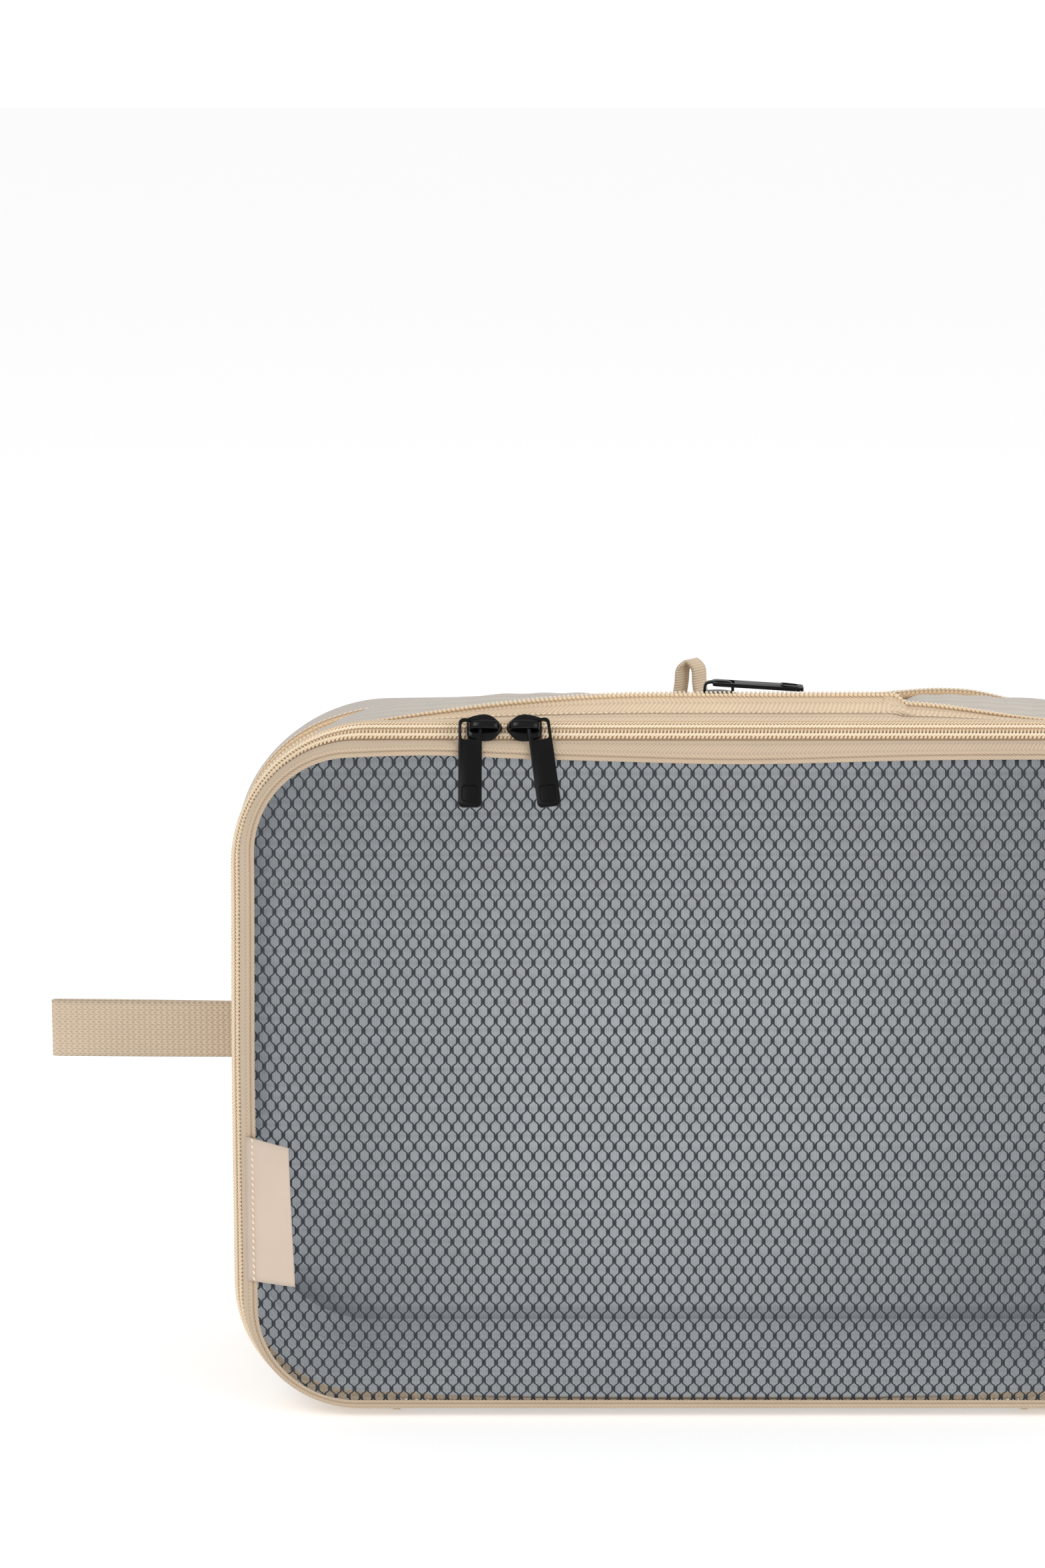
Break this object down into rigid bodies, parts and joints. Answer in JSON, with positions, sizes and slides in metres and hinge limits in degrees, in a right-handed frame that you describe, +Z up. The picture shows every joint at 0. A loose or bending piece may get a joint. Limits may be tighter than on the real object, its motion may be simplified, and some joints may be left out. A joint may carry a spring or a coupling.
{
  "type": "compression packing cube",
  "caption": "Soft zip packing cube with a mesh window lid, zippered compression gusset, side webbing handle, finger loop and metal sliders with pull tabs.",
  "frame": {"origin": "centre of the rear wall's base, in the plane the cube stands on", "axes": "+X along the width, to the right as seen from the mesh lid; +Y from the mesh lid to the back panel; +Z up"},
  "size_m": [0.396, 0.1159, 0.2565],
  "materials": {
    "mesh": "dark slate warp-knit mesh",
    "tape": "beige woven zipper tape",
    "coil": "beige nylon coil with stitched rows",
    "ripstop": "light warm grey ripstop nylon",
    "webbing": "beige woven webbing",
    "grosgrain": "cream ribbed ribbon",
    "satin": "blank satin tag, pinkish beige",
    "slider_black": "gloss black slider",
    "pull_black": "semi-gloss black pull tab"
  },
  "bodies": {
    "rear_section": {"rear_wall": "ripstop", "back_panel": "ripstop", "back_binding": "tape", "rear_collar_tape": "tape", "rear_collar_coil": "coil", "rear_tape_fold": "tape", "finger_loop": "grosgrain", "expansion_gusset": "ripstop"},
    "front_section": {"main_coil": "coil", "upper_tape": "tape", "front_collar_tape": "tape", "front_collar_coil": "coil", "front_tape_fold": "tape", "hinge_strip": "ripstop", "zipper_end_left": "ripstop", "zipper_end_right": "ripstop"},
    "lid": {"mesh_window": "mesh", "lid_tape": "tape", "lid_coil": "coil", "lid_binding": "tape"},
    "label": {"label_tag": "satin"},
    "handle": {"handle_strap": "webbing", "handle_bartack": "tape"},
    "left_slider": {"left_slider_body": "slider_black", "left_slider_bridge": "slider_black"},
    "left_pull": {"left_pull": "pull_black"},
    "right_slider": {"right_slider_body": "slider_black", "right_slider_bridge": "slider_black"},
    "right_pull": {"right_pull": "pull_black"},
    "compression_slider": {"compression_slider_body": "slider_black", "compression_slider_bridge": "slider_black"},
    "compression_pull": {"compression_pull": "pull_black"}
  },
  "joints": [
    {"name": "compress", "type": "slide", "parent": "rear_section", "child": "front_section", "axis": [0, 1, 0], "range_m": [0, 0.0436], "deforming": ["expansion_gusset"]},
    {"name": "lid_open", "type": "hinge", "parent": "front_section", "child": "lid", "pos_m": [0, -0.07765, 0.0011], "axis": [1, 0, 0], "range_deg": [0, 80]},
    {"name": "label_flap", "type": "hinge", "parent": "lid", "child": "label", "pos_m": [-0.159, -0.0848, 0.0729], "axis": [0, 0, -1], "range_deg": [0, 120]},
    {"name": "handle_swing", "type": "hinge", "parent": "rear_section", "child": "handle", "pos_m": [-0.167, -0.012, 0.116], "axis": [0, 0, 1], "range_deg": [-75, 75]},
    {"name": "left_slider_run", "type": "slide", "parent": "front_section", "child": "left_slider", "axis": [1, 0, 0], "range_m": [-0.028, 0]},
    {"name": "left_pull_swing", "type": "hinge", "parent": "left_slider", "child": "left_pull", "pos_m": [-0.0824, -0.08034, 0.24143], "axis": [0, -0.8692, 0.4945], "range_deg": [-95, 14]},
    {"name": "right_slider_run", "type": "slide", "parent": "front_section", "child": "right_slider", "axis": [1, 0, 0], "range_m": [0, 0.17]},
    {"name": "right_pull_swing", "type": "hinge", "parent": "right_slider", "child": "right_pull", "pos_m": [-0.0597, -0.08034, 0.24143], "axis": [0, -0.8692, 0.4945], "range_deg": [-21, 87]},
    {"name": "compression_slider_run", "type": "slide", "parent": "front_section", "child": "compression_slider", "axis": [1, 0, 0], "range_m": [-0.095, 0.055]},
    {"name": "compression_pull_flip", "type": "hinge", "parent": "compression_slider", "child": "compression_pull", "pos_m": [0.0007, -0.06685, 0.2541], "axis": [0, -1, 0], "range_deg": [0, 180]}
  ]
}
